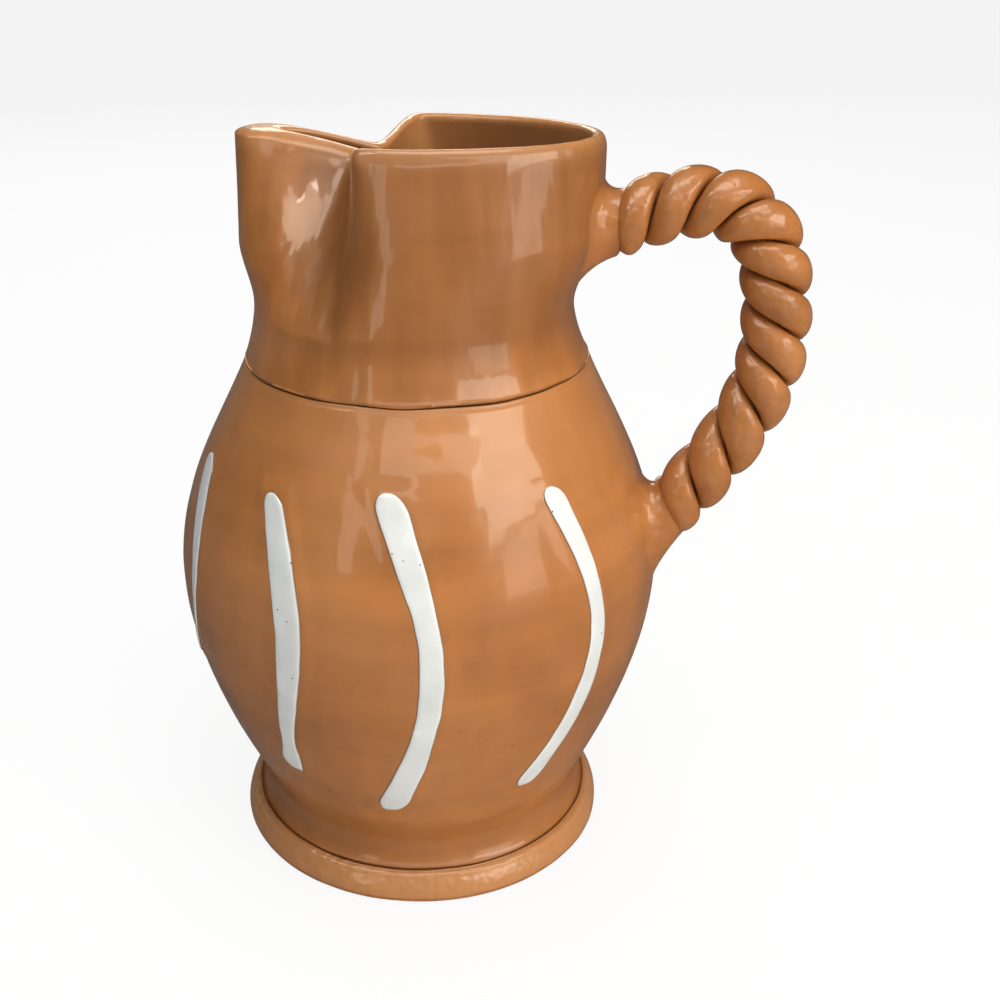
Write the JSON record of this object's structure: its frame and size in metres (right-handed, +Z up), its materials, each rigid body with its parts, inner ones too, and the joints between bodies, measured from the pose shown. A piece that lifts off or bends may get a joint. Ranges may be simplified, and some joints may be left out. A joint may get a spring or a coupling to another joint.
{
  "type": "ceramic jug",
  "caption": "Glazed earthenware jug with a round belly on a foot ring, a neck pinched into a keyhole mouth and spout, a twisted rope handle and white slip strokes.",
  "frame": {"origin": "on the axis of the belly, in the plane that the jug stands on, at the middle of its flat base", "axes": "+Z up out of the mouth, +X towards the handle, -X towards the spout"},
  "size_m": [0.2105, 0.168, 0.2505],
  "materials": {
    "glazed_clay": "caramel-brown clay under a clear glossy glaze, darker where the glaze pools in creases",
    "white_slip": "thick white slip under the same clear glaze"
  },
  "bodies": {
    "root": {"foot_ring": "glazed_clay", "belly": "glazed_clay", "neck_spout": "glazed_clay", "handle_strand_1": "glazed_clay", "handle_strand_2": "glazed_clay", "handle_upper_pad": "glazed_clay", "handle_lower_pad": "glazed_clay", "slip_stroke_1": "white_slip", "slip_stroke_2": "white_slip", "slip_stroke_3": "white_slip", "slip_stroke_4": "white_slip", "slip_stroke_5": "white_slip", "slip_stroke_6": "white_slip", "slip_stroke_7": "white_slip", "slip_stroke_8": "white_slip", "slip_stroke_9": "white_slip"}
  },
  "joints": []
}
